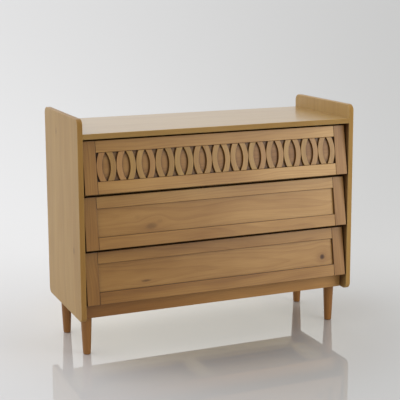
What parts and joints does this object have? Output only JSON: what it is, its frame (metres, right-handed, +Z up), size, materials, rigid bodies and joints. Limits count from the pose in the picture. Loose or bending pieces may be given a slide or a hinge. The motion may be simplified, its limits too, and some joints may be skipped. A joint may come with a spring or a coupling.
{
  "type": "chest of drawers",
  "caption": "Low pine chest of drawers with leaning handle-free fronts, a lens lattice on the top drawer, raised round-cornered sides and turned tapered legs.",
  "frame": {"origin": "on the floor, below the middle of the chest", "axes": "+X to the right seen from the front, +Y from front to back, +Z up"},
  "size_m": [1, 0.4, 0.8],
  "materials": {
    "pine_case": "satin lacquered pine",
    "pine_front": "satin lacquered pine",
    "pine_lattice": "satin lacquered pine",
    "pine_box": "plain sanded pine",
    "birch_plywood": "plain birch plywood",
    "beech": "plain beech",
    "zinc_plated_steel": "zinc plated",
    "die_cast_zinc": "die-cast zinc"
  },
  "bodies": {
    "case": {"back_panel": "birch_plywood", "back_panel_screws": "zinc_plated_steel", "bottom_cross_rails": "pine_box", "bottom_long_rails": "pine_box", "cam_bolts": "zinc_plated_steel", "cam_locks": "die_cast_zinc", "carcass_dowels": "beech", "divider_lower": "pine_box", "divider_upper": "pine_box", "drawer_stops": "beech", "leg_bolts": "zinc_plated_steel", "leg_front_left": "pine_case", "leg_front_right": "pine_case", "leg_inserts": "die_cast_zinc", "leg_rear_left": "pine_case", "leg_rear_right": "pine_case", "plinth_rail": "pine_case", "runner_bottom_left": "beech", "runner_bottom_right": "beech", "runner_middle_left": "beech", "runner_middle_right": "beech", "runner_screws": "zinc_plated_steel", "runner_top_left": "beech", "runner_top_right": "beech", "side_panel_left": "pine_case", "side_panel_right": "pine_case", "top_panel": "pine_case"},
    "drawer_top": {"drawer_top_back": "pine_box", "drawer_top_base": "birch_plywood", "drawer_top_dowels": "beech", "drawer_top_lattice_left": "pine_lattice", "drawer_top_lattice_right": "pine_lattice", "drawer_top_panel": "pine_front", "drawer_top_rail_lower": "pine_front", "drawer_top_rail_upper": "pine_front", "drawer_top_side_left": "pine_box", "drawer_top_side_right": "pine_box", "drawer_top_stile_left": "pine_front", "drawer_top_stile_right": "pine_front"},
    "drawer_middle": {"drawer_middle_back": "pine_box", "drawer_middle_base": "birch_plywood", "drawer_middle_dowels": "beech", "drawer_middle_panel": "pine_front", "drawer_middle_rail_lower": "pine_front", "drawer_middle_rail_upper": "pine_front", "drawer_middle_side_left": "pine_box", "drawer_middle_side_right": "pine_box", "drawer_middle_stile_left": "pine_front", "drawer_middle_stile_right": "pine_front"},
    "drawer_bottom": {"drawer_bottom_back": "pine_box", "drawer_bottom_base": "birch_plywood", "drawer_bottom_dowels": "beech", "drawer_bottom_panel": "pine_front", "drawer_bottom_rail_lower": "pine_front", "drawer_bottom_rail_upper": "pine_front", "drawer_bottom_side_left": "pine_box", "drawer_bottom_side_right": "pine_box", "drawer_bottom_stile_left": "pine_front", "drawer_bottom_stile_right": "pine_front"}
  },
  "joints": [
    {"name": "drawer_top_slide", "type": "slide", "parent": "case", "child": "drawer_top", "axis": [0, -1, 0], "range_m": [0, 0.225]},
    {"name": "drawer_middle_slide", "type": "slide", "parent": "case", "child": "drawer_middle", "axis": [0, -1, 0], "range_m": [0, 0.225]},
    {"name": "drawer_bottom_slide", "type": "slide", "parent": "case", "child": "drawer_bottom", "axis": [0, -1, 0], "range_m": [0, 0.225]}
  ]
}
